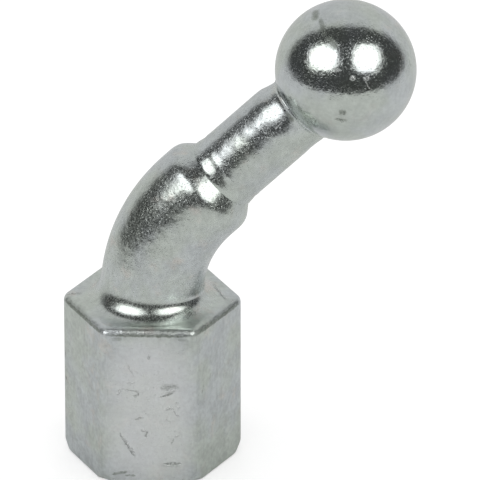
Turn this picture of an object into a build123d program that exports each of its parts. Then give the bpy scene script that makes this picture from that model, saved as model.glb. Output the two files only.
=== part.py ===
"""Angle ball stud: a forged hexagon foot, a bent shank, a neck and a turned ball, all one piece of steel.

The foot stands on z = 0 with its threaded hole along Z. The arm leans towards +X in the plane y = 0,
which is also the plane where the two halves of the forging die met.
"""
import math
import os

from build123d import *

# Hexagon foot, mm
ACROSS_FLATS = 18.0  # spanner size
HEX_HEIGHT = 19.95
FLASH_WIDTH = 20.3  # the two corners in the die plane are trimmed to this width
CORNER_ROUND = 1.0  # the four forged corners
FLASH_CORNER_ROUND = 0.9  # each side of the trimmed corners
TOP_DRAFT = 0.8  # degrees that the top face falls away on each side of the die plane
TOP_EDGE_ROUND = 0.5
FOOT_BEVEL = 0.8  # all round the end face

# Threaded hole, M12 x 1.75, blind, open at the foot
THREAD_CORE_DIAMETER = 10.2
THREAD_DEPTH = 14.5
MOUTH_BEVEL = 0.4
DRILL_POINT = 118.0

# Bent shank
SHANK_DIAMETER = 11.8
SHANK_RISE = 0.4  # straight length before the bend
BEND_RADIUS = 17.4
BEND_ANGLE = 45.5
BASE_FILLET = 2.2

# Arm beyond the bend, lengths along its own axis from the end of the bend
COLLAR_END = 2.2  # where the shank's full diameter stops
SHOULDER_LENGTH = 1.7
SHOULDER_ROUND = 1.1
SHOULDER_FILLET = 0.4
NECK_DIAMETER = 8.75
RELIEF_DIAMETER = 8.4  # short turned length next to the ball, it runs out on the underside
RELIEF_LENGTH = 2.4
BALL_DIAMETER = 16.0
BALL_DISTANCE = 23.2
BALL_OFFSET = 0.28  # the ball and its relief were turned this far below the forged arm's axis

# Plane at the end of the bend: its Z runs along the arm, its X points to the underside of the arm
bend = math.radians(BEND_ANGLE)
bend_end = (
    BEND_RADIUS * (1 - math.cos(bend)),
    0,
    HEX_HEIGHT + SHANK_RISE + BEND_RADIUS * math.sin(bend),
)
arm = Plane(
    origin=bend_end,
    x_dir=(math.cos(bend), 0, -math.sin(bend)),
    z_dir=(math.sin(bend), 0, math.cos(bend)),
)
# The same plane moved to the axis on which the ball was turned
turning = Plane(
    origin=arm.from_local_coords((BALL_OFFSET, 0, BALL_DISTANCE)),
    x_dir=arm.x_dir,
    z_dir=arm.z_dir,
)


def meridian(plane):
    """The half-plane in which a profile is drawn: X is the radius and Y runs along the plane's Z."""
    return Plane(origin=plane.origin, x_dir=plane.x_dir, z_dir=-plane.y_dir)


def corner_at(face, radius, height):
    """The corner of a meridian profile at this radius and height."""
    return min(
        face.vertices(),
        key=lambda v: abs(v.X - radius) + abs(v.Y - height),
    )


with BuildPart() as ball_stud:
    # Foot: a hexagon whose corners in the die plane lost their points when the flash was trimmed
    with BuildSketch():
        RegularPolygon(radius=ACROSS_FLATS / 2, side_count=6, major_radius=False)
        Rectangle(FLASH_WIDTH, 2 * ACROSS_FLATS, mode=Mode.INTERSECT)
    extrude(amount=HEX_HEIGHT)
    uprights = ball_stud.edges().filter_by(Axis.Z).group_by(lambda e: round(abs(e.center().X), 3))
    fillet(uprights[0], CORNER_ROUND)
    uprights = ball_stud.edges().filter_by(Axis.Z).group_by(lambda e: round(abs(e.center().X), 3))
    fillet(uprights[-1], FLASH_CORNER_ROUND)

    # The top face falls away from the die plane, so that the forging left the die
    fall = ACROSS_FLATS * math.tan(math.radians(TOP_DRAFT))
    with BuildSketch(Plane.YZ):
        with BuildLine():
            Polyline(
                (-ACROSS_FLATS, 0),
                (ACROSS_FLATS, 0),
                (ACROSS_FLATS, HEX_HEIGHT - fall),
                (0, HEX_HEIGHT),
                (-ACROSS_FLATS, HEX_HEIGHT - fall),
                close=True,
            )
        make_face()
    extrude(amount=FLASH_WIDTH, both=True, mode=Mode.INTERSECT)
    top_faces = ball_stud.faces().sort_by(Axis.Z)[-2:]
    rim = [e for e in top_faces.edges() if abs(e.center().Y) > 0.01 or e.length < ACROSS_FLATS / 2]
    fillet(rim, TOP_EDGE_ROUND)

    # End face: the hexagon's lower edges are bevelled
    chamfer(ball_stud.faces().sort_by(Axis.Z)[0].edges(), FOOT_BEVEL)

    # Shank: swept up and round the bend, from inside the foot
    with BuildLine(Plane.XZ):
        rise = Line((0, HEX_HEIGHT - 2), (0, HEX_HEIGHT + SHANK_RISE))
        RadiusArc(rise @ 1, (bend_end[0], bend_end[2]), BEND_RADIUS)
    with BuildSketch(Plane.XY.offset(HEX_HEIGHT - 2)):
        Circle(SHANK_DIAMETER / 2)
    sweep()
    base = ball_stud.edges().filter_by(
        lambda e: HEX_HEIGHT - 1 < e.center().Z < HEX_HEIGHT + 0.1
        and (Vertex(*e.position_at(0.5)).center() - Vector(0, 0, HEX_HEIGHT)).length < SHANK_DIAMETER / 2 + 0.3
        and e.length > SHANK_DIAMETER / 2
    )
    fillet(base, BASE_FILLET)

    # Collar, shoulder and neck, forged round the arm's axis
    neck_end = BALL_DISTANCE - BALL_DIAMETER / 4
    with BuildSketch(meridian(arm)):
        with BuildLine():
            Polyline(
                (0, -0.5),
                (SHANK_DIAMETER / 2 - 0.02, -0.5),
                (SHANK_DIAMETER / 2, 0),
                (SHANK_DIAMETER / 2, COLLAR_END),
                (NECK_DIAMETER / 2, COLLAR_END + SHOULDER_LENGTH),
                (NECK_DIAMETER / 2, neck_end),
                (0, neck_end),
                close=True,
            )
        profile = make_face()
        fillet(corner_at(profile, SHANK_DIAMETER / 2, COLLAR_END), SHOULDER_ROUND)
        fillet(corner_at(profile, NECK_DIAMETER / 2, COLLAR_END + SHOULDER_LENGTH), SHOULDER_FILLET)
    revolve(axis=Axis(arm.origin, arm.z_dir))

    # Relief and ball, turned together a little below the arm's axis
    ball_radius = BALL_DIAMETER / 2
    relief_radius = RELIEF_DIAMETER / 2
    neck_foot = -math.sqrt(ball_radius**2 - relief_radius**2)
    with BuildSketch(meridian(turning)):
        with BuildLine():
            Polyline(
                (relief_radius, neck_foot + 0.5),
                (relief_radius, neck_foot - RELIEF_LENGTH),
                (NECK_DIAMETER, neck_foot - RELIEF_LENGTH - NECK_DIAMETER / 2),
                (NECK_DIAMETER, neck_foot + 0.5),
                close=True,
            )
        make_face()
    revolve(axis=Axis(turning.origin, turning.z_dir), mode=Mode.SUBTRACT)
    with Locations(turning):
        Sphere(ball_radius)

    # Threaded hole from below: bevelled mouth, core at tapping size and the drill's cone
    core_radius = THREAD_CORE_DIAMETER / 2
    with BuildSketch(meridian(Plane.XY)):
        with BuildLine():
            Polyline(
                (0, -1),
                (core_radius + MOUTH_BEVEL + 1, -1),
                (core_radius, MOUTH_BEVEL),
                (core_radius, THREAD_DEPTH),
                (0, THREAD_DEPTH + core_radius / math.tan(math.radians(DRILL_POINT / 2))),
                close=True,
            )
        make_face()
    revolve(axis=Axis.Z, mode=Mode.SUBTRACT)

ball_stud.part.label = "ball_stud"
os.makedirs("parts", exist_ok=True)
export_step(ball_stud.part, "parts/ball_stud.step")
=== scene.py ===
# %% [markdown]
# # A forged angle ball stud, zinc plated
# The part is one piece of steel. It was forged hot between two dies, trimmed round the die line, turned on
# the ball, drilled and tapped in the foot, and then plated with zinc. This lesson builds the shapes first:
# the hexagon foot, the threaded hole, the bent arm and the ball. The plating and the studio come last.

# %% Imports and the CAD frame
import math

import bpy
from mathutils import Matrix, Vector


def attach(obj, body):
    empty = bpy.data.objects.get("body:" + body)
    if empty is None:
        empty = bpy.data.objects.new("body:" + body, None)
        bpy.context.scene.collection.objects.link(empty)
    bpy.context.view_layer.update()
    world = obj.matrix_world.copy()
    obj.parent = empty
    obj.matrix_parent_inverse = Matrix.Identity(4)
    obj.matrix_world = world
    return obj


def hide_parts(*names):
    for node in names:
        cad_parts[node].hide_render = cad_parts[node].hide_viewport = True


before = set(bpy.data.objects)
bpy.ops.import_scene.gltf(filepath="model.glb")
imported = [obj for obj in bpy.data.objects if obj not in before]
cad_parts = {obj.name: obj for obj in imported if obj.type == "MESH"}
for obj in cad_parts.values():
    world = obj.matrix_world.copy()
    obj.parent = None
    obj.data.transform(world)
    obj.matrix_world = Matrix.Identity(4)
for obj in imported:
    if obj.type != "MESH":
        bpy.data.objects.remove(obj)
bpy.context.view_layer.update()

# %% [markdown]
# ## Sizes
# Each size is written once, in millimetres, as it would be on the drawing. Blender works in metres here, so
# MM turns one into the other. The arm leans towards +X, and the two die halves met in the plane y = 0.

# %% Sizes of the foot
MM = 0.001
ACROSS_FLATS = 18.0
HEX_HEIGHT = 19.95
CORNER_ROUND = 1.0
FLASH_CORNER_ROUND = 1.6
TOP_ROUND = 0.85
CORNER_CUT = 1.9
FOOT_BEVEL = 0.4

# %% Sizes of the arm and the ball
SHANK_RADIUS = 5.9
BASE_FILLET = 2.2
SHANK_RISE = 0.4
BEND_RADIUS = 17.4
BEND_ANGLE = math.radians(45.5)
COLLAR_END = 2.2
SHOULDER_LENGTH = 1.7
NECK_RADIUS = 4.375
RELIEF_RADIUS = 4.2
RELIEF_LENGTH = 2.4
BALL_RADIUS = 7.99
BALL_DISTANCE = 23.2
BALL_OFFSET = 0.28

# %% Sizes of the threaded hole
CORE_RADIUS = 5.1
THREAD_HEIGHT = 0.85
THREAD_DEPTH = 14.5
PITCH = 1.75
DRILL_POINT = math.radians(118)


# %% [markdown]
# ## Small helpers
# Most steps below start by clearing the selection, because loading the frame leaves the CAD selected. The
# helpers name the few things that many steps do: start an object, pick edges by a rule, cut one shape with
# another, and check that a shape is closed.

# %% Helpers
def named(name):
    """Names the object that the last operator made."""
    made = bpy.context.object
    made.name = name
    made.data.name = name
    return made


def settle():
    """Puts the active object's place and turn into its mesh, so that the object itself sits at the origin."""
    bpy.ops.object.transform_apply(location=True, rotation=True, scale=True)


def only(piece):
    """Selects this piece alone and makes it the active one."""
    bpy.ops.object.select_all(action="DESELECT")
    piece.select_set(True)
    bpy.context.view_layer.objects.active = piece


def pick_edges(piece, rule):
    """Selects in edit mode the edges whose two ends, in millimetres, fit the rule. Returns how many."""
    bpy.ops.object.mode_set(mode="EDIT")
    bpy.ops.mesh.select_mode(type="EDGE")
    bpy.ops.mesh.select_all(action="DESELECT")
    bpy.ops.object.mode_set(mode="OBJECT")
    count = 0
    for edge in piece.data.edges:
        a, b = (piece.data.vertices[i].co / MM for i in edge.vertices)
        edge.select = rule(a, b)
        count += edge.select
    bpy.ops.object.mode_set(mode="EDIT")
    return count


def closed(piece):
    """True if every edge of the piece has exactly two faces."""
    uses = {}
    for face in piece.data.polygons:
        for key in face.edge_keys:
            uses[key] = uses.get(key, 0) + 1
    return len(uses) == len(piece.data.edges) and all(n == 2 for n in uses.values())


def cut(piece, tool, operation):
    """Joins a tool to the piece, or cuts it out, and throws the tool away."""
    only(piece)
    boolean = piece.modifiers.new("cut", "BOOLEAN")
    boolean.object = tool
    boolean.operation = operation
    boolean.solver = "EXACT"
    bpy.ops.object.modifier_apply(modifier=boolean.name)
    bpy.data.objects.remove(tool, do_unlink=True)
    print(operation.lower(), "left", len(piece.data.polygons), "faces, closed:", closed(piece))


# %% [markdown]
# ## The hexagon foot
# The foot is what the spanner grips. In the die its two side corners lay on the parting plane, where the
# flash was trimmed off afterwards, so they are rounder than the other four. A six-sided cylinder is turned
# so that two corners point along X, into that plane.

# %% Block out the hexagon
WIDEST = ACROSS_FLATS / 2 / math.cos(math.radians(30))
bpy.ops.object.select_all(action="DESELECT")
bpy.ops.mesh.primitive_cylinder_add(
    vertices=6,
    radius=WIDEST * MM,
    depth=HEX_HEIGHT * MM,
    end_fill_type="NGON",
    location=(0, 0, HEX_HEIGHT / 2 * MM),
    rotation=(0, 0, math.radians(30)),
)
foot = named("foot")
settle()
print("foot corners:", len(foot.data.vertices))

# %% [markdown]
# ## Rounded edges
# Steel doesn't fill the sharp corners of a die. The edges are rounded with bevels: wide on the two trimmed
# corners, less on the other four and round the top. The end face was turned, which cut its six corners off,
# so those corners are bevelled first, as points. The rules below find the edges by their place. SLOPE is
# the tangent of 30 degrees: a hexagon's side leans by it, and a round in a hexagon's corner starts its
# radius times SLOPE away from the corner.

# %% Rules for the foot's edges
SLOPE = math.tan(math.radians(30))
TALL = 5
FLAT_MARGIN, CORNER_MARGIN = 0.3, 0.6


def on_outline(point):
    """True for a point on the hexagon's outline, seen from above, or just inside it."""
    near_flat = abs(point.y) >= ACROSS_FLATS / 2 - FLAT_MARGIN
    return near_flat or abs(point.x) + abs(point.y) * SLOPE >= WIDEST - CORNER_MARGIN


def rim(a, b, low, high):
    """True for an edge of the outline between these heights, and not for one that crosses a face."""
    level = low < min(a.z, b.z) and max(a.z, b.z) < high
    return level and (a - b).length < WIDEST + CORNER_MARGIN and on_outline(a) and on_outline(b)


def forged_corner(a, b):
    """True for an upright edge away from the die line."""
    return abs(a.z - b.z) > TALL and abs(a.y) > ACROSS_FLATS / 4


def trimmed_corner(a, b):
    """True for an upright edge on the die line."""
    return abs(a.z - b.z) > TALL and abs(a.y) < 0.1


# %% Cut the end face's corners off
bpy.ops.object.mode_set(mode="EDIT")
bpy.ops.mesh.select_mode(type="VERT")
bpy.ops.mesh.select_all(action="DESELECT")
bpy.ops.object.mode_set(mode="OBJECT")
for vertex in foot.data.vertices:
    vertex.select = vertex.co.z < HEX_HEIGHT / 2 * MM
bpy.ops.object.mode_set(mode="EDIT")
bpy.ops.mesh.bevel(offset=CORNER_CUT * MM, affect="VERTICES")

# %% Round the edges
found = pick_edges(foot, forged_corner)
bpy.ops.mesh.bevel(offset=CORNER_ROUND * SLOPE * MM, segments=5, profile=0.5)
print("forged corners:", found)
found = pick_edges(foot, trimmed_corner)
bpy.ops.mesh.bevel(offset=FLASH_CORNER_ROUND * SLOPE * MM, segments=6, profile=0.5)
print("trimmed corners:", found)
found = pick_edges(foot, lambda a, b: rim(a, b, HEX_HEIGHT - 1, HEX_HEIGHT + 1))
bpy.ops.mesh.bevel(offset=TOP_ROUND * MM, segments=5, profile=0.5)
print("top rim:", found)
found = pick_edges(foot, lambda a, b: rim(a, b, -1, 0.01))
bpy.ops.mesh.bevel(offset=FOOT_BEVEL * MM, segments=2, profile=0.5)
print("bottom rim:", found)
bpy.ops.object.mode_set(mode="OBJECT")
print("foot closed:", closed(foot))

# %% [markdown]
# ## Four metals
# The plating looks different on the forged flats, on the arm, on the turned ball and in the hole, so each
# place gets its own material. The foot holds all four from the start. A face that a cut leaves or a union
# adds brings the material of its own shape with it.

# %% Metals by place
metal_names = ("zinc_on_forged_flats", "zinc_in_hole", "zinc_on_forged_arm", "zinc_on_turned_ball")
metals = {name: bpy.data.materials.new(name) for name in metal_names}
for name in metal_names:
    foot.data.materials.append(metals[name])

# %% [markdown]
# ## The threaded hole
# A blind hole is drilled into the end face, and then a tap cuts the thread, which runs out through that
# face. The drill is a cylinder with a cone for its point. The tap is one turn of a V shape that the Screw
# modifier winds up the hole. Both start below the face, so that they cut right through it.

# %% Drill
DRILL_START = 2
TIP = 0.02
bpy.ops.object.select_all(action="DESELECT")
bpy.ops.mesh.primitive_cylinder_add(
    vertices=96,
    radius=CORE_RADIUS * MM,
    depth=(THREAD_DEPTH + DRILL_START) * MM,
    location=(0, 0, (THREAD_DEPTH - DRILL_START) / 2 * MM),
)
drill = named("drill")
drill.data.materials.append(metals["zinc_in_hole"])
settle()
bpy.ops.object.mode_set(mode="EDIT")
bpy.ops.mesh.select_all(action="DESELECT")
bpy.ops.object.mode_set(mode="OBJECT")
lid = max(drill.data.polygons, key=lambda face: face.center.z)
lid.select = True
bpy.ops.object.mode_set(mode="EDIT")
bpy.ops.mesh.select_mode(type="FACE")
point_length = CORE_RADIUS * (1 - TIP) / math.tan(DRILL_POINT / 2)
bpy.ops.mesh.extrude_region_move(TRANSFORM_OT_translate={"value": (0, 0, point_length * MM)})
bpy.ops.transform.resize(value=(TIP, TIP, 1))
bpy.ops.object.mode_set(mode="OBJECT")
cut(foot, drill, "DIFFERENCE")

# %% Profile of the tap
TAP_START, TAP_OVERLAP = -1.5, 0.1
crest, root = CORE_RADIUS - TAP_OVERLAP, CORE_RADIUS + THREAD_HEIGHT
bpy.ops.object.select_all(action="DESELECT")
bpy.ops.mesh.primitive_plane_add(size=1 * MM, location=(0, 0, 0))
tap = named("tap")
bpy.ops.object.mode_set(mode="EDIT")
bpy.ops.mesh.delete(type="ONLY_FACE")
bpy.ops.object.mode_set(mode="OBJECT")
corners = ((crest, 0.0), (root, 0.42), (root, 0.58), (crest, 1.0))
for vertex, (x, share) in zip((0, 1, 3, 2), corners):
    tap.data.vertices[vertex].co = Vector((x, 0, (share + TAP_START) * PITCH)) * MM
bpy.ops.object.mode_set(mode="EDIT")
bpy.ops.mesh.select_mode(type="EDGE")
bpy.ops.mesh.select_all(action="DESELECT")
bpy.ops.object.mode_set(mode="OBJECT")
for edge in tap.data.edges:
    edge.select = set(edge.vertices) == {0, 2}
bpy.ops.object.mode_set(mode="EDIT")
bpy.ops.mesh.delete(type="EDGE")
bpy.ops.object.mode_set(mode="OBJECT")
print("edges in the tap's profile:", len(tap.data.edges))

# %% Wind the tap
only(tap)
screw = tap.modifiers.new("thread", "SCREW")
screw.angle = math.radians(360)
screw.steps = screw.render_steps = 64
screw.screw_offset = PITCH * MM
screw.iterations = 9
screw.use_merge_vertices = True
screw.merge_threshold = 0.001 * MM
bpy.ops.object.modifier_apply(modifier=screw.name)
bpy.ops.object.mode_set(mode="EDIT")
bpy.ops.mesh.select_all(action="SELECT")
bpy.ops.mesh.remove_doubles(threshold=0.002 * MM)
bpy.ops.mesh.select_all(action="DESELECT")
bpy.ops.mesh.select_non_manifold(extend=False)
bpy.ops.mesh.fill_holes(sides=0)
bpy.ops.mesh.select_all(action="SELECT")
bpy.ops.mesh.normals_make_consistent(inside=False)
bpy.ops.object.mode_set(mode="OBJECT")
tap.data.materials.clear()
tap.data.materials.append(metals["zinc_in_hole"])
print("tap closed:", closed(tap), "top at", round(max(v.co.z for v in tap.data.vertices) / MM, 2))
cut(foot, tap, "DIFFERENCE")

# %% [markdown]
# ## The bent arm
# The arm is a round bar that was upset and bent in the die. One disc is pulled along the centre line, and
# at each station it is extruded, moved, turned and sized. A station is a distance along the line, a radius
# and a shift to the side. The list starts with the fillet that spreads onto the foot, follows the bend,
# drops over the collar's rounded shoulder to the neck, and ends inside the ball.


# %% The centre line
def on_line(distance, shift=0.0):
    """The point this far along the centre line from the foot's top, and the arm's angle there."""
    angle = min(max((distance - SHANK_RISE) / BEND_RADIUS, 0.0), BEND_ANGLE)
    rest = distance - SHANK_RISE - angle * BEND_RADIUS
    x = BEND_RADIUS * (1 - math.cos(angle)) + rest * math.sin(angle)
    z = HEX_HEIGHT + SHANK_RISE + BEND_RADIUS * math.sin(angle) + rest * math.cos(angle)
    return Vector((x + shift * math.cos(angle), 0, z - shift * math.sin(angle))), angle


BEND_END = SHANK_RISE + BEND_RADIUS * BEND_ANGLE
BALL_CENTRE, ARM_ANGLE = on_line(BEND_END + BALL_DISTANCE, BALL_OFFSET)
print("ball centre, mm:", tuple(round(v, 3) for v in BALL_CENTRE))

# %% [markdown]
# ### From the foot to the collar
# The fillet is a quarter circle that starts SINK below the foot's top, so that the two skins cross cleanly.
# The shank keeps one radius from there to the collar, where its edge starts to round off, ROUNDING before
# the end.

# %% Stations of the fillet and the shank
SINK, ROUNDING = 0.012, 1.0
FILLET_STEPS, SHANK_STEPS = 8, 30
stations = []
for step in range(FILLET_STEPS + 1):
    turn = math.radians(90 - 90 * step / FILLET_STEPS)
    spread = BASE_FILLET * (1 - math.cos(turn))
    stations.append((BASE_FILLET * (1 - math.sin(turn)) - SINK, SHANK_RADIUS + spread, 0))
collar_end = BEND_END + COLLAR_END
rounding_start = collar_end - ROUNDING
for step in range(1, SHANK_STEPS + 1):
    along = (rounding_start - BASE_FILLET) * step / SHANK_STEPS
    stations.append((BASE_FILLET + along, SHANK_RADIUS, 0))
print("stations up to the collar:", len(stations))

# %% [markdown]
# ### From the collar to the relief
# A pair in SHOULDER is a distance past the start of the rounding and how far the radius has dropped there.
# A pair in the next two lists is a distance past the shoulder's end and how much the neck is thicker there
# than further on, because the steel swelled a little where the die let it. The straight neck runs on from
# NECK_GAP past the shoulder to NECK_STOP before the relief.

# %% Stations of the shoulder and the neck
SHOULDER = ((0.275, 0.02), (0.55, 0.06), (0.825, 0.13), (1.1, 0.24), (1.375, 0.42), (1.65, 0.64))
NECK_SWELL = ((-0.25, 0.22), (-0.08, 0.09), (0.1, 0.15), (0.4, 0.12), (0.8, 0.06), (1.15, 0.0))
NECK_RIPPLE = ((1.4, -0.01), (1.7, 0.02), (1.9, 0.02))
NECK_STEPS, NECK_GAP, NECK_STOP = 11, 2.0, 0.9
RELIEF_TO_CENTRE = 6.8
for along, drop in SHOULDER:
    stations.append((rounding_start + along, SHANK_RADIUS - drop, 0))
shoulder_end = collar_end + SHOULDER_LENGTH
for along, extra in NECK_SWELL + NECK_RIPPLE:
    stations.append((shoulder_end + along, NECK_RADIUS + extra, 0))
relief_start = BEND_END + BALL_DISTANCE - RELIEF_TO_CENTRE - RELIEF_LENGTH
neck_length = relief_start - NECK_STOP - shoulder_end - NECK_GAP
for step in range(NECK_STEPS + 1):
    stations.append((shoulder_end + NECK_GAP + neck_length * step / NECK_STEPS, NECK_RADIUS, 0))
print("stations up to the relief:", len(stations))

# %% [markdown]
# ### The turned relief
# The lathe cut the relief on the ball's own axis, a little to the side of the forged neck, so the shift
# comes in over SHIFT_LENGTH. A pair is a distance past the relief's start and how far the radius has gone
# from the neck's to the relief's. Past the relief the share is negative: that is the thin bead against the
# ball.

# %% Stations of the relief
ENTRY = ((-0.4, 0.08), (0.0, 0.25), (0.4, 0.5), (0.8, 0.75), (1.2, 0.92), (1.6, 1.0))
EXIT = ((2.0, 1.0), (2.2, 0.7), (2.42, -0.3), (4.5, -0.3))
SHIFT_LENGTH, RELIEF_SHIFT = 1.6, 0.9
for along, share in ENTRY + EXIT:
    radius = NECK_RADIUS + (RELIEF_RADIUS - NECK_RADIUS) * share
    shift = BALL_OFFSET * min(max(along, 0.0) / SHIFT_LENGTH, 1.0) * RELIEF_SHIFT
    stations.append((relief_start + along, radius, shift))
print("stations:", len(stations))

# %% Pull the disc along the stations
START_BELOW = 2
at, facing, radius = Vector((0, 0, HEX_HEIGHT - START_BELOW)), 0.0, stations[0][1]
bpy.ops.object.select_all(action="DESELECT")
bpy.ops.mesh.primitive_circle_add(
    vertices=120, radius=radius * MM, fill_type="NGON", location=(0, 0, (HEX_HEIGHT - START_BELOW) * MM)
)
arm = named("arm")
settle()
bpy.ops.object.mode_set(mode="EDIT")
bpy.ops.mesh.select_mode(type="FACE")
bpy.ops.mesh.select_all(action="SELECT")
for distance, wanted, shift in stations:
    goal, angle = on_line(distance, shift)
    bpy.ops.mesh.extrude_region_move(TRANSFORM_OT_translate={"value": (goal - at) * MM})
    if angle != facing:
        bpy.ops.transform.rotate(
            value=facing - angle, orient_axis="Y", orient_type="GLOBAL", center_override=goal * MM
        )
    if wanted != radius:
        bpy.ops.transform.resize(value=(wanted / radius,) * 3, center_override=goal * MM)
    at, facing, radius = goal, angle, wanted
bpy.ops.mesh.select_all(action="SELECT")
bpy.ops.mesh.normals_make_consistent(inside=False)
bpy.ops.object.mode_set(mode="OBJECT")
print("arm faces:", len(arm.data.polygons), "closed:", closed(arm))
print("arm ends at", tuple(round(v, 2) for v in at), "inside the ball")

# %% [markdown]
# ## The ball
# The ball is the working surface, turned after forging. Its poles lie on the arm's axis, as they would in a
# lathe, so the union takes one of them away and the other is at the free end.

# %% Turn the ball
bpy.ops.object.select_all(action="DESELECT")
bpy.ops.mesh.primitive_uv_sphere_add(
    segments=128,
    ring_count=64,
    radius=BALL_RADIUS * MM,
    location=BALL_CENTRE * MM,
    rotation=(0, ARM_ANGLE, 0),
)
ball = named("ball")
settle()
print("ball faces:", len(ball.data.polygons))

# %% [markdown]
# ## One piece of steel
# The three shapes overlap, and a real forging has no faces inside, so two unions make one closed skin. The
# foot's flat top is part of the same forged skin as the arm, so it takes the arm's metal.

# %% Join the shapes
arm.data.materials.append(metals["zinc_on_forged_arm"])
ball.data.materials.append(metals["zinc_on_turned_ball"])
cut(foot, arm, "UNION")
cut(foot, ball, "UNION")
stud = foot
stud.name = stud.data.name = "forged_ball_stud"
flats_slot = metal_names.index("zinc_on_forged_flats")
arm_slot = metal_names.index("zinc_on_forged_arm")
top_starts = (HEX_HEIGHT - TOP_ROUND * 0.3) * MM
for face in stud.data.polygons:
    if face.material_index == flats_slot and face.center.z > top_starts:
        face.material_index = arm_slot

# %% [markdown]
# ## Smooth and flat
# Round faces are shaded smooth and sharp edges stay sharp. Weighted normals let the broad flats keep their
# own direction, so the small rounded edges catch the light and the flats stay flat.

# %% Shading
only(stud)
bpy.ops.object.shade_smooth_by_angle(angle=math.radians(32))
weighted = stud.modifiers.new("flats", "WEIGHTED_NORMAL")
weighted.keep_sharp = True
weighted.weight = 80
bpy.ops.object.modifier_apply(modifier=weighted.name)
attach(stud, "root")
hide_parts("ball_stud")
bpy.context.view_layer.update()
print("triangles:", sum(len(f.vertices) - 2 for f in stud.data.polygons))

# %% [markdown]
# ## Zinc plating
# Bright zinc is a soft grey metal with a faint blue and green passivation. It copies what lies under it:
# lumps and fine pits on the forged skin, and a much finer grain on the turned ball. Three node groups make
# these effects once: a tint that drifts over the surface, a height for the grain, and a mask for one knock
# or stain at a chosen place. The helpers below add a node and link it in one line.


# %% Node helpers
def feed(tree, socket, value):
    """Links a socket into this one, or writes a plain value in it."""
    if isinstance(value, bpy.types.NodeSocket):
        tree.links.new(value, socket)
    else:
        socket.default_value = value


def maths(tree, operation, a, b=0.0, clamp=False):
    """Adds a Math node. a and b are sockets or numbers."""
    node = tree.nodes.new("ShaderNodeMath")
    node.operation = operation
    node.use_clamp = clamp
    feed(tree, node.inputs[0], a)
    feed(tree, node.inputs[1], b)
    return node.outputs[0]


def vector_maths(tree, operation, *values, scale=None):
    """Adds a Vector Math node. The values are sockets or vectors, and scale is for SCALE alone."""
    node = tree.nodes.new("ShaderNodeVectorMath")
    node.operation = operation
    for socket, value in zip(node.inputs, values):
        feed(tree, socket, value)
    if operation == "SCALE":
        feed(tree, node.inputs["Scale"], scale)
    return node.outputs["Value" if operation == "DOT_PRODUCT" else "Vector"]


def noise_node(tree, vector, scale, detail, roughness):
    """Adds a Noise texture. scale is in features per metre."""
    node = tree.nodes.new("ShaderNodeTexNoise")
    feed(tree, node.inputs["Vector"], vector)
    for name, value in (("Scale", scale), ("Detail", detail), ("Roughness", roughness)):
        node.inputs[name].default_value = value
    return node


def noise(tree, vector, scale, detail=3.0, roughness=0.55):
    """The grey value of a Noise texture."""
    return noise_node(tree, vector, scale, detail, roughness).outputs["Fac"]


def remap(tree, value, low, high, to_low=0.0, to_high=1.0):
    """Adds a Map Range node with a soft step between low and high."""
    node = tree.nodes.new("ShaderNodeMapRange")
    node.interpolation_type = "SMOOTHSTEP"
    feed(tree, node.inputs["Value"], value)
    for name, number in (("From Min", low), ("From Max", high), ("To Min", to_low), ("To Max", to_high)):
        node.inputs[name].default_value = number
    return node.outputs["Result"]


def mix_colour(tree, factor, a, b):
    """Adds a Mix node that mixes colours. Its colour sockets are the seventh and the eighth."""
    node = tree.nodes.new("ShaderNodeMix")
    node.data_type = "RGBA"
    for index, value in ((0, factor), (6, a), (7, b)):
        feed(tree, node.inputs[index], value)
    return node.outputs[2]


# %% Group helpers
VECTOR, FLOAT, COLOUR = "NodeSocketVector", "NodeSocketFloat", "NodeSocketColor"


def group(name, inputs, outputs):
    """Starts a node group. inputs and outputs are (name, socket type) pairs."""
    tree = bpy.data.node_groups.new(name, "ShaderNodeTree")
    for label, kind in inputs:
        tree.interface.new_socket(label, in_out="INPUT", socket_type=kind)
    for label, kind in outputs:
        tree.interface.new_socket(label, in_out="OUTPUT", socket_type=kind)
    return tree, tree.nodes.new("NodeGroupInput").outputs, tree.nodes.new("NodeGroupOutput").inputs


def use_group(tree, shared, vector, values):
    """Places a group in a tree and sets its inputs by name."""
    node = tree.nodes.new("ShaderNodeGroup")
    node.node_tree = shared
    feed(tree, node.inputs["Vector"], vector)
    for label, value in values.items():
        node.inputs[label].default_value = value
    return node.outputs


# %% [markdown]
# ### The tint
# The passivation drifts slowly between a cool and a greenish grey. Warm patches, dark stains and small
# specks lie over that. Mottle makes the level uneven in spots and clouds, and Streak does so in upright
# lines. The group also puts out the stain, because a stained place is duller too.

# %% Tint group
COOL, GREEN, WARM = (0.655, 0.695, 0.700, 1), (0.645, 0.695, 0.645, 1), (0.700, 0.685, 0.640, 1)
STAINED = (0.36, 0.38, 0.36, 1)
tint, tint_in, tint_out = group(
    "passivation_tint",
    (("Vector", VECTOR), ("Amount", FLOAT), ("Mottle", FLOAT), ("Streak", FLOAT)),
    (("Color", COLOUR), ("Stain", FLOAT)),
)
place = tint_in["Vector"]
drift = remap(tint, noise(tint, place, 170, 2.0), 0.38, 0.62)
patch = remap(tint, noise(tint, place, 420, 4.0), 0.56, 0.74)
stain = remap(tint, noise(tint, place, 900, 6.0, 0.7), 0.60, 0.80)
specks = remap(tint, noise(tint, place, 3300, 1.0), 0.70, 0.78)
stain = maths(tint, "MAXIMUM", stain, specks)
shade = mix_colour(tint, drift, COOL, GREEN)
shade = mix_colour(tint, maths(tint, "MULTIPLY", patch, tint_in["Amount"], clamp=True), shade, WARM)
shade = mix_colour(tint, maths(tint, "MULTIPLY", stain, 0.40), shade, STAINED)

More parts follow.
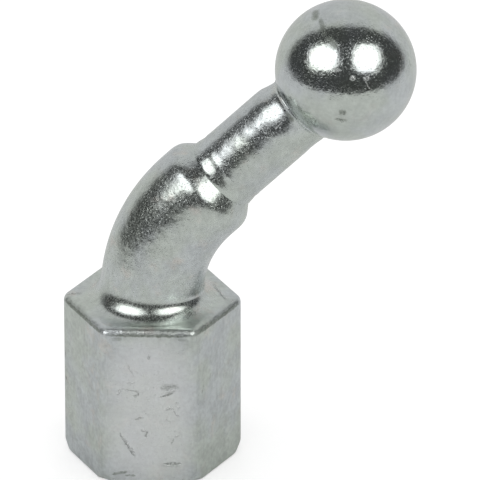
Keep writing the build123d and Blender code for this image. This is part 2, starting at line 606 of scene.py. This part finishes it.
# %% Level of the tint
upright = vector_maths(tint, "MULTIPLY", place, (1.0, 1.0, 0.08))
streaks = remap(tint, noise(tint, upright, 1500, 3.0), 0.3, 0.7, -0.5, 0.5)
fine = remap(tint, noise(tint, place, 2100, 5.0, 0.72), 0.33, 0.67, -0.5, 0.5)
clouds = remap(tint, noise(tint, place, 520, 4.0, 0.6), 0.36, 0.64, -0.35, 0.35)
mottle = maths(tint, "ADD", fine, clouds)
level = maths(tint, "ADD", maths(tint, "MULTIPLY", streaks, tint_in["Streak"]), 1.0)
level = maths(tint, "ADD", maths(tint, "MULTIPLY", mottle, tint_in["Mottle"]), level)
feed(tint, tint_out["Color"], vector_maths(tint, "SCALE", shade, scale=level))
feed(tint, tint_out["Stain"], stain)

# %% Grain group
GRAIN_LAYERS = (("Lumps", 420, 2.0), ("Ripples", 1500, 2.0), ("Pits", 5000, 1.0))
grain, grain_in, grain_out = group(
    "plated_grain",
    (("Vector", VECTOR), ("Lumps", FLOAT), ("Ripples", FLOAT), ("Pits", FLOAT)),
    (("Height", FLOAT),),
)
height = 0.0
for name, scale, detail in GRAIN_LAYERS:
    layer = noise(grain, grain_in["Vector"], scale, detail)
    if name == "Pits":
        layer = remap(grain, layer, 0.57, 0.74)
    height = maths(grain, "ADD", maths(grain, "MULTIPLY", layer, grain_in[name]), height)
feed(grain, grain_out["Height"], height)

# %% [markdown]
# ## Knocks and stains
# A tumbled batch part has marks where its neighbours hit it. Each mark is a soft-edged bar, and the group
# returns 1 inside it. A mark is a row: its middle and its direction on the part, its half length and half
# width in millimetres, the normal of the face that it lies on, and its depth. A knock with a negative depth
# is a dent with painted shade, and one with a positive depth stands out with a painted highlight. On a stain
# the last number is how dark it is, and so it is on the painted shade along the top rim. On the front flat's
# painted light it is how pale that flat is made.

# %% Mark group
REACH = 1.5
mark, mark_in, mark_out = group(
    "handling_mark",
    (("Vector", VECTOR), ("Middle", VECTOR), ("Along", VECTOR), ("Across", VECTOR), ("Depthwise", VECTOR)),
    (("Mask", FLOAT),),
)
away = vector_maths(mark, "SUBTRACT", mark_in["Vector"], mark_in["Middle"])
total = 0.0
for name, power in (("Along", 4.0), ("Across", 2.0), ("Depthwise", 2.0)):
    share = maths(mark, "ABSOLUTE", vector_maths(mark, "DOT_PRODUCT", away, mark_in[name]))
    total = maths(mark, "ADD", maths(mark, "POWER", share, power), total)
feed(mark, mark_out["Mask"], remap(mark, total, 1.0, 0.0))


def marks(tree, vector, rows):
    """Sums the masks of these marks, each times its depth."""
    total = 0.0
    for middle, direction, half_length, half_width, normal, depth in rows:
        normal = Vector(normal).normalized()
        along = Vector(direction)
        along = (along - along.dot(normal) * normal).normalized()
        bar = {
            "Middle": Vector(middle) * MM,
            "Along": along / (half_length * MM),
            "Across": normal.cross(along) / (half_width * MM),
            "Depthwise": normal / (REACH * MM),
        }
        mask = use_group(tree, mark, vector, bar)["Mask"]
        total = maths(tree, "ADD", maths(tree, "MULTIPLY", mask, depth), total)
    return total


def ragged(tree, vector, amount):
    """Shifts the coordinate a little by noise, so that a mark drawn with it gets a ragged outline."""
    wander = noise_node(tree, vector, 2600.0, 3.0, 0.65).outputs["Color"]
    centred = vector_maths(tree, "SUBTRACT", wander, (0.5, 0.5, 0.5))
    return vector_maths(tree, "MULTIPLY_ADD", centred, (amount * MM,) * 3, vector)


# %% Knocks on the flats
FRONT = -ACROSS_FLATS / 2
NEAR, LEFT, RIGHT = (0, -1, 0), (-0.87, -0.5, 0), (0.87, -0.5, 0)
# Dents here are given painted shade and the raised marks a painted highlight.
FLAT_MARKS = (
    ((-2.6, FRONT, 5.2), (1, 0, -1.7), 2.0, 0.13, NEAR, -1.1),
    ((-2.4, FRONT, 5.3), (1, 0, -1.7), 1.9, 0.10, NEAR, 0.9),
    ((2.4, FRONT, 12.8), (1, 0, 0.1), 1.2, 0.50, NEAR, -0.5),
    ((2.6, FRONT, 12.2), (1, 0, 0.3), 0.9, 0.16, NEAR, 0.8),
    ((2.0, FRONT, 11.7), (1, 0, 0.4), 0.9, 0.14, NEAR, -1.1),
    ((2.6, FRONT, 2.8), (1, 0, 0.05), 1.1, 0.24, NEAR, -0.9),
    ((-2.0, FRONT, 12.2), (1, 0, -0.2), 1.2, 0.16, NEAR, -0.6),
    ((-1.5, FRONT, 11.6), (1, 0, 0.6), 0.5, 0.18, NEAR, -0.9),
    ((-1.2, FRONT, 8.6), (1, 0, 0.5), 0.5, 0.14, NEAR, -0.7),
    ((-0.3, FRONT, 6.6), (0.4, 0, 1), 0.4, 0.16, NEAR, -0.9),
    ((2.9, FRONT, 9.6), (1, 0, -1.5), 0.9, 0.14, NEAR, 0.9),
    ((2.2, FRONT, 8.4), (1, 0, -0.6), 0.4, 0.16, NEAR, -0.7),
    ((0.0, FRONT, 16.5), (0.1, 0, 1), 0.3, 0.20, NEAR, -0.7),
    ((2.1, FRONT, 9.9), (1, 0, 0.8), 0.35, 0.16, NEAR, 0.9),
    ((3.2, FRONT, 10.4), (0.5, 0, -1), 0.5, 0.14, NEAR, 0.9),
    ((-0.6, FRONT, 7.1), (1, 0, 0.3), 0.4, 0.22, NEAR, 0.9),
    ((2.65, FRONT, 5.6), (0.3, 0, 1), 0.45, 0.12, NEAR, -0.8),
    ((3.2, FRONT, 6.4), (1, 0, 0.6), 0.35, 0.14, NEAR, 0.9),
    ((-3.45, FRONT, 12.0), (0.4, 0, 1), 0.5, 0.16, NEAR, 0.8),
    ((-2.1, FRONT, 13.2), (1, 0, 0.1), 0.5, 0.12, NEAR, 0.8),
    ((-5.0, FRONT, 16.7), (0.3, 0, 1), 0.3, 0.18, NEAR, -0.7),
    ((-2.2, FRONT, 15.0), (0.5, 0, -1), 1.2, 0.10, NEAR, 0.5),
    ((-7.7, -4.3, 13.0), (0.2, 0, 1), 0.5, 0.12, LEFT, -0.8),
    ((-9.9, -0.6, 12.5), (0, 0, 1), 0.5, 0.25, LEFT, -1.0),
    ((-9.8, -0.8, 9.4), (0, 0, 1), 0.25, 0.25, LEFT, -1.2),
    ((7.0, -5.6, 7.5), (0.3, 0, 1), 0.8, 0.10, RIGHT, -0.6),
    ((5.9, -7.4, 11.8), (0.6, 0, 1), 0.6, 0.14, RIGHT, -0.8),
)

# %% Die line on the foot's top and knocks on the arm
TOP = (0, 0, 1)
# Each stretch of the die line is a pair: a raised bar with a painted highlight beside a sunk bar with painted
# shade.
DIE_LINE = (
    ((-9.1, 0.05, HEX_HEIGHT), (1, 0.06, 0), 1.4, 0.14, TOP, 2.0),
    ((-9.1, -0.28, HEX_HEIGHT), (1, 0.06, 0), 1.2, 0.12, TOP, -1.3),
    ((7.8, 0.75, HEX_HEIGHT), (1, -2.1, 0), 2.3, 0.14, TOP, 2.0),
    ((7.6, 0.55, HEX_HEIGHT), (1, -2.1, 0), 2.0, 0.12, TOP, -1.3),
    ((9.5, -1.0, HEX_HEIGHT), (1, 0.64, 0), 0.8, 0.14, TOP, 2.0),
    ((9.6, -1.3, HEX_HEIGHT), (1, 0.64, 0), 0.7, 0.12, TOP, -1.3),
)
# The arm's knocks stand out, so each is given a painted highlight.
ARM_MARKS = (
    ((13.6, -4.0, 42.2), (1, 0, 0.1), 0.7, 0.10, (-0.4, -0.9, 0.4), 1.3),
    ((12.2, -4.1, 40.2), (1, 0, 0.5), 0.5, 0.09, (-0.3, -0.9, 0.3), 1.3),
    ((14.6, -3.9, 43.6), (0.7, 0, 0.9), 0.6, 0.09, (-0.4, -0.9, 0.4), 1.0),
    ((-3.8, -4.6, 29.4), (0.4, 0, 1), 0.9, 0.08, (-0.6, -0.8, 0.1), 0.9),
    ((-3.2, -4.9, 28.2), (0.3, 0, 1), 0.8, 0.08, (-0.6, -0.8, 0.1), 0.8),
    ((-4.3, -4.2, 28.6), (0.4, 0, 1), 0.6, 0.08, (-0.7, -0.7, 0.1), 0.9),
)

# %% Knocks on the ball
# Dents here are given painted shade and the raised marks a painted highlight.
BALL_MARKS = (
    ((21.77, -7.86, 47.33), (1, 0, 0.1), 0.36, 0.36, (-0.02, -0.98, -0.19), -0.6),
    ((21.4, -7.6, 46.4), (1, 0, -0.3), 0.5, 0.12, (-0.06, -0.95, -0.3), -0.6),
    ((21.9, -7.5, 46.0), (1, 0, 0.3), 0.4, 0.12, (0, -0.95, -0.33), -0.6),
    ((24.4, -7.3, 50.8), (0.5, 0, -1), 0.8, 0.07, (0.3, -0.91, 0.25), 1.2),
    ((22.86, -7.48, 51.49), (0.2, 0, 1), 0.34, 0.28, (0.11, -0.94, 0.33), 1.3),
    ((24.47, -7.18, 51.29), (1, 0, 0.4), 0.30, 0.24, (0.31, -0.9, 0.31), 1.3),
    ((21.2, -7.2, 52.2), (1, 0, 0.2), 0.5, 0.10, (-0.09, -0.9, 0.42), 1.0),
    ((25.6, -6.4, 51.9), (0.5, 0, 1), 0.5, 0.08, (0.45, -0.8, 0.38), 1.0),
)

# %% Stains, painted shade along the top rim, and painted light that makes the front flat paler
BALL_STAINS = (
    ((18.5, -0.7, 56.0), (0.1, -1, -0.2), 1.3, 0.60, (-0.42, -0.09, 0.9), 1.0),
    ((19.4, -3.2, 55.65), (0.3, -1, -0.5), 1.8, 0.42, (-0.33, -0.41, 0.85), 0.8),
    ((20.5, -5.2, 54.75), (0.6, -0.6, -0.6), 1.1, 0.55, (-0.18, -0.66, 0.73), 1.0),
    ((21.77, -7.86, 47.33), (1, 0, 0.1), 0.5, 0.5, (-0.02, -0.98, -0.19), 1.0),
    ((21.6, -7.6, 46.3), (1, 0, -0.1), 0.9, 0.25, (-0.04, -0.95, -0.3), 0.7),
    ((17.6, -5.6, 45.2), (0.7, -0.5, -0.6), 1.6, 0.35, (-0.54, -0.7, -0.45), 0.4),
)
ARM_STAINS = (
    ((15.8, -3.9, 44.8), (0.7, -0.1, -0.7), 0.8, 0.35, (-0.4, -0.9, 0.2), 1.1),
    ((5.6, -4.6, 35.6), (0.7, 0.2, -0.7), 0.9, 0.25, (-0.3, -0.9, 0.3), 0.6),
)
FLAT_STAINS = (
    ((-3.4, FRONT, 1.5), (1, 0, 0.2), 1.0, 0.25, NEAR, 1.0),
    ((-2.2, FRONT, 1.2), (1, 0, 0), 0.7, 0.16, NEAR, 0.8),
    ((2.3, FRONT, 12.7), (1, 0, 0.1), 1.2, 0.35, NEAR, 0.3),
    ((2.5, FRONT, 2.6), (1, 0, 0), 1.2, 0.3, NEAR, 0.3),
    ((-3.6, FRONT, 18.8), (1, 0, 0.1), 0.7, 0.3, NEAR, 0.5),
    ((3.9, FRONT, 18.8), (1, 0, -0.1), 0.7, 0.25, NEAR, 0.5),
)
# Painted shade: a dark band along the rounded top edge of the three near flats, laid on with the stains.
PAINTED_RIM_SHADE = (
    ((0, FRONT, 19.25), (1, 0, 0), 5.0, 0.20, NEAR, 1.2),
    ((7.7, -4.6, 19.3), (0.5, -0.87, 0), 5.2, 0.28, RIGHT, 1.3),
    ((-7.7, -4.6, 19.3), (0.5, 0.87, 0), 5.2, 0.28, LEFT, 1.3),
)
# Painted light: the whole front flat is mixed towards a pale colour, as if it caught more light than the
# flats beside it.
FRONT_FLAT_PAINTED_LIGHT = (((0, FRONT, 9.5), (0, 0, 1), 11.0, 6.5, NEAR, 0.65),)

# %% [markdown]
# ## The plated metals
# Each metal starts as tinted, pitted plating. Knocks change its height, and their colour gets painted shade
# in the dents and a painted highlight where they stand out. Stains change its shade and its gloss, and on the
# flats the same dark film paints shade along the top rim. The foot's top is duller and smoother than the arm
# above it. Each of these is one function, and plate() puts them together for one place on the part, where it
# also paints light into the front flat to make it paler.

# %% Wear on the plating, with painted shade and painted light
# Painted shade for dents and a painted highlight for what stands out.
PAINTED_DENT_SHADE, PAINTED_KNOCK_HIGHLIGHT = (0.34, 0.36, 0.34, 1), (0.92, 0.93, 0.92, 1)
# A dark colour for stains, also used as painted shade along the top rim, and a pale colour for the front
# flat's painted light.
STAIN_AND_PAINTED_SHADE, PAINTED_LIGHT_COLOUR = (0.27, 0.30, 0.26, 1), (0.93, 0.95, 0.95, 1)


def knock_with_painted_light(tree, vector, base, height, rows):
    """Adds knocks to the height. Their colour gets painted shade in the dents and a painted highlight where
    they stand out.
    """
    depth = marks(tree, ragged(tree, vector, 0.5), rows)
    broken = remap(tree, noise(tree, vector, 3200, 2.0), 0.40, 0.58, 0.25, 1.15)
    depth = maths(tree, "MULTIPLY", depth, broken)
    # Painted shade in the dents, then a painted highlight where the knock stands out.
    base = mix_colour(tree, maths(tree, "MULTIPLY", depth, -0.50, clamp=True), base, PAINTED_DENT_SHADE)
    base = mix_colour(tree, maths(tree, "MULTIPLY", depth, 0.45, clamp=True), base, PAINTED_KNOCK_HIGHLIGHT)
    return base, maths(tree, "ADD", height, depth)


def stain_and_shade_film(tree, vector, base, rough, rows):
    """Lays a dull, dark film over the metal in patches: stains, and on the flats a band of painted shade
    along the top rim.
    """
    cover = maths(tree, "ADD", marks(tree, ragged(tree, vector, 0.4), rows), 0.0, clamp=True)
    uneven = remap(tree, noise(tree, vector, 2600, 3.0), 0.3, 0.6, 0.5, 1.0)
    cover = maths(tree, "MULTIPLY", cover, uneven)
    base = mix_colour(tree, maths(tree, "MULTIPLY", cover, 0.85), base, STAIN_AND_PAINTED_SHADE)
    return base, maths(tree, "ADD", rough, maths(tree, "MULTIPLY", cover, 0.22), clamp=True)


def calm(tree, vector, height, rough, top):
    """Dulls the metal below this height and smooths its grain there, up to where the arm stands clear."""
    axes = tree.nodes.new("ShaderNodeSeparateXYZ")
    feed(tree, axes.inputs[0], vector)
    dull = remap(tree, axes.outputs["Z"], top * MM, (top - 0.3) * MM, 0.0, 0.13)
    grown = remap(tree, axes.outputs["Z"], (top + 1.5) * MM, (top + 5) * MM, 0.45, 1.0)
    return maths(tree, "MULTIPLY", height, grown), maths(tree, "ADD", rough, dull, clamp=True)


# %% One metal
def plate(name, tint_levels, heights, roughness, knocks_with_painted_light=(), stains_and_painted_shade=(), painted_light_marks=(), calm_below=None):
    """Fills a metal. Stained places are rougher, and the bump comes from the grain and the knocks."""
    material = metals[name]
    material.use_nodes = True
    tree = material.node_tree
    shader = tree.nodes["Principled BSDF"]
    shader.inputs["Metallic"].default_value = 1.0
    vector = tree.nodes.new("ShaderNodeTexCoord").outputs["Object"]
    tinted = use_group(tree, tint, vector, tint_levels)
    base = tinted["Color"]
    height = use_group(tree, grain, vector, heights)["Height"]
    rough = remap(tree, noise(tree, vector, 4200, 3.0), 0.3, 0.7, roughness - 0.05, roughness + 0.09)
    rough = maths(tree, "ADD", rough, maths(tree, "MULTIPLY", tinted["Stain"], 0.10), clamp=True)
    if calm_below:
        height, rough = calm(tree, vector, height, rough, calm_below)
    # Painted light: these marks mix the colour towards a pale one, so the flat looks more lit.
    if painted_light_marks:
        base = mix_colour(tree, marks(tree, vector, painted_light_marks), base, PAINTED_LIGHT_COLOUR)
    if knocks_with_painted_light:
        base, height = knock_with_painted_light(tree, vector, base, height, knocks_with_painted_light)
    if stains_and_painted_shade:
        base, rough = stain_and_shade_film(tree, vector, base, rough, stains_and_painted_shade)
    bump = tree.nodes.new("ShaderNodeBump")
    bump.inputs["Strength"].default_value = 1.0
    bump.inputs["Distance"].default_value = 0.1 * MM
    feed(tree, bump.inputs["Height"], height)
    feed(tree, shader.inputs["Base Color"], base)
    feed(tree, shader.inputs["Roughness"], rough)
    feed(tree, shader.inputs["Normal"], bump.outputs["Normal"])
    print(name, "has", len(tree.nodes), "nodes")


# %% Plate the four places
plate(
    "zinc_on_forged_flats",
    {"Amount": 0.7, "Mottle": 0.16, "Streak": 0.05},
    {"Lumps": 2.0, "Ripples": 0.8, "Pits": 0.30},
    roughness=0.33,
    knocks_with_painted_light=FLAT_MARKS,
    # Real stains, and painted shade along the top rim.
    stains_and_painted_shade=FLAT_STAINS + PAINTED_RIM_SHADE,
    # Painted light that makes the front flat paler.
    painted_light_marks=FRONT_FLAT_PAINTED_LIGHT,
)
plate(
    "zinc_on_forged_arm",
    {"Amount": 0.9, "Mottle": 0.15, "Streak": 0.0},
    {"Lumps": 1.0, "Ripples": 0.17, "Pits": 0.11},
    roughness=0.225,
    knocks_with_painted_light=DIE_LINE + ARM_MARKS,
    stains_and_painted_shade=ARM_STAINS,
    calm_below=HEX_HEIGHT + 0.3,
)
plate(
    "zinc_on_turned_ball",
    {"Amount": 0.6, "Mottle": 0.13, "Streak": 0.0},
    {"Lumps": 0.22, "Ripples": 0.21, "Pits": 0.06},
    roughness=0.135,
    knocks_with_painted_light=BALL_MARKS,
    stains_and_painted_shade=BALL_STAINS,
)
plate(
    "zinc_in_hole",
    {"Amount": 0.4, "Mottle": 0.1, "Streak": 0.0},
    {"Lumps": 0.2, "Ripples": 0.2, "Pits": 0.1},
    roughness=0.30,
)

# %% [markdown]
# ## Studio
# Metal shows the room, so the room is what makes it look like metal. The part stands on a small round table
# inside a pale tent. The camera looks in through a dark opening, with a soft lamp on each side of it. The
# opening goes on below the table's edge, so that edge is where the dark patch on the ball ends.
#
# The tent, the opening and the lamps are drawn on the world by direction, and only mirrored rays meet them.
# All other rays meet plain white, which lights the table evenly and makes the background white. The room
# stays where it is when another view is taken.

# %% [markdown]
# ### The camera
# The camera stands far off and looks down a little, so lines that run away from it hardly come together. It
# aims AIM_RIGHT and AIM_UP of PIVOT, as it sees them. The lens is worked out from its distance and from the
# width that it has to show there, which is FIELD.

# %% Camera
AZIMUTH, ELEVATION = math.radians(2.01), math.radians(27.2)
DISTANCE, FIELD = 915.3, 54.81
SENSOR = 36
PIVOT = Vector((0, 0, 22))
AIM_RIGHT, AIM_UP = 10.03, 4.355
level_out = math.cos(ELEVATION)
right = Vector((math.cos(AZIMUTH), math.sin(AZIMUTH), 0))
forward = Vector(
    (-math.sin(AZIMUTH) * level_out, math.cos(AZIMUTH) * level_out, -math.sin(ELEVATION))
)
up = right.cross(forward)
target = PIVOT + AIM_RIGHT * right + AIM_UP * up
bpy.ops.object.select_all(action="DESELECT")
bpy.ops.object.camera_add(location=(target - DISTANCE * forward) * MM)
camera = named("camera")
camera.rotation_euler = Matrix((right, up, -forward)).transposed().to_euler()
camera.data.sensor_width = SENSOR
camera.data.lens = SENSOR * DISTANCE / FIELD
camera.data.clip_start, camera.data.clip_end = 0.01, 50
bpy.context.scene.camera = camera
print("lens, mm:", round(camera.data.lens, 1))

# %% [markdown]
# ### The room as the ball shows it
# A mirror ball shows each direction of the room at the point whose normal lies halfway between that
# direction and the camera. The room is laid out in those halfway directions, sideways and upward from the
# middle of the ball, so a round patch here looks round on the ball.

# %% Halfway directions
world = bpy.data.worlds.new("studio")
bpy.context.scene.world = world
world.use_nodes = True
sky = world.node_tree
sky.nodes.clear()
direction = sky.nodes.new("ShaderNodeTexCoord").outputs["Generated"]
halfway = vector_maths(sky, "NORMALIZE", vector_maths(sky, "ADD", direction, -forward))
sideways = vector_maths(sky, "DOT_PRODUCT", halfway, right)
upward = vector_maths(sky, "DOT_PRODUCT", halfway, up)


def far_out(position, middle, half_size, power):
    """0 in a patch's middle and 1 at its edge, raised to a power."""
    share = maths(sky, "DIVIDE", maths(sky, "SUBTRACT", position, middle), half_size)
    return maths(sky, "POWER", maths(sky, "ABSOLUTE", share), power)


def patch_on_sky(x, y, half_width, half_height, power, soft):
    """A soft-edged patch, 1 inside: an ellipse at power 2, and squarer with a higher power."""
    across = far_out(sideways, x, half_width, power)
    along = far_out(upward, y, half_height, power)
    return remap(sky, maths(sky, "ADD", across, along), 1 + soft, 1 - soft)


# %% Room drawn on the sky
TENT, DARK, LAMP = 0.61, 0.055, 2.0
TENT_SHADE, LAMP_SHADE = (TENT, TENT, TENT, 1), (LAMP, LAMP, LAMP, 1)
DARK_SHADE = (DARK, DARK * 1.03, DARK * 1.02, 1)
WHITE = (1, 1, 1, 1)
opening = patch_on_sky(0.0, 0.12, 0.82, 0.49, power=2.0, soft=0.12)
left_lamp = patch_on_sky(-0.315, 0.160, 0.205, 0.180, power=2.6, soft=0.55)
right_lamp = patch_on_sky(0.285, 0.155, 0.195, 0.190, power=2.6, soft=0.55)
lamps = maths(sky, "ADD", left_lamp, right_lamp, clamp=True)
room = mix_colour(sky, opening, TENT_SHADE, DARK_SHADE)
room = mix_colour(sky, lamps, room, LAMP_SHADE)
mirrored = sky.nodes.new("ShaderNodeLightPath").outputs["Is Glossy Ray"]
background = sky.nodes.new("ShaderNodeBackground")
feed(sky, background.inputs["Color"], mix_colour(sky, mirrored, WHITE, room))
sky.links.new(background.outputs[0], sky.nodes.new("ShaderNodeOutputWorld").inputs["Surface"])

# %% [markdown]
# ### The table
# The table is a round sheet of matt paper, a hair below the foot so that the two don't share a plane. It
# looks white to the camera because it glows a little for camera rays alone, and the part's soft shadow
# still shows.

# %% Table
TABLE_RADIUS, TABLE_DROP = 215, 0.02
PAPER, PAPER_GLOW = 0.63, 0.48
bpy.ops.object.select_all(action="DESELECT")
bpy.ops.mesh.primitive_circle_add(
    vertices=128, radius=TABLE_RADIUS * MM, fill_type="NGON", location=(0, 0, -TABLE_DROP * MM)
)
table = named("table")
table_paint = bpy.data.materials.new("table_paper")
table_paint.use_nodes = True
paper = table_paint.node_tree
paper_shader = paper.nodes["Principled BSDF"]
paper_shader.inputs["Base Color"].default_value = (PAPER, PAPER, PAPER, 1)
paper_shader.inputs["Roughness"].default_value = 0.9
paper_shader.inputs["Specular IOR Level"].default_value = 0.0
paper_shader.inputs["Emission Color"].default_value = WHITE
seen = paper.nodes.new("ShaderNodeLightPath").outputs["Is Camera Ray"]
feed(paper, paper_shader.inputs["Emission Strength"], maths(paper, "MULTIPLY", seen, PAPER_GLOW))
table.data.materials.append(table_paint)

# %% View settings
bpy.context.scene.view_settings.view_transform = "Standard"
